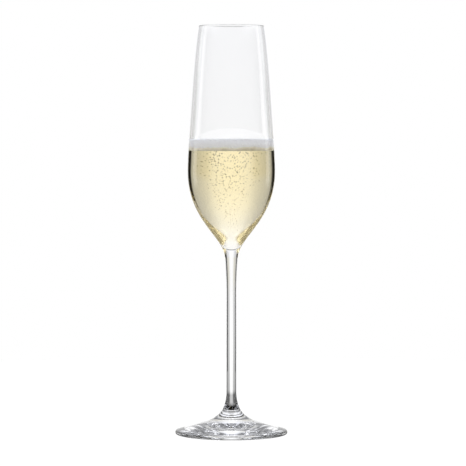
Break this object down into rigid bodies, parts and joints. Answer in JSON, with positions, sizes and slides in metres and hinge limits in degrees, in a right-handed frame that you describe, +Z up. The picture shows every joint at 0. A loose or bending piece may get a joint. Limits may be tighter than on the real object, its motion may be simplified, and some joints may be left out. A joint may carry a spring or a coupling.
{
  "type": "champagne flute",
  "caption": "Tall stemmed glass with a slim tulip bowl, a thin stem and a low conical foot, half filled with pale sparkling wine under a layer of froth.",
  "frame": {"origin": "on the table, under the middle of the foot", "axes": "+Z up along the stem to the rim; the flute is a body of revolution about Z, so X and Y are free"},
  "size_m": [0.07, 0.07, 0.254],
  "materials": {
    "crystal": "polished",
    "champagne": "polished",
    "froth": "matte"
  },
  "bodies": {
    "root": {"foot": "crystal", "stem": "crystal", "bowl": "crystal", "champagne": "champagne", "froth": "froth"}
  },
  "joints": []
}
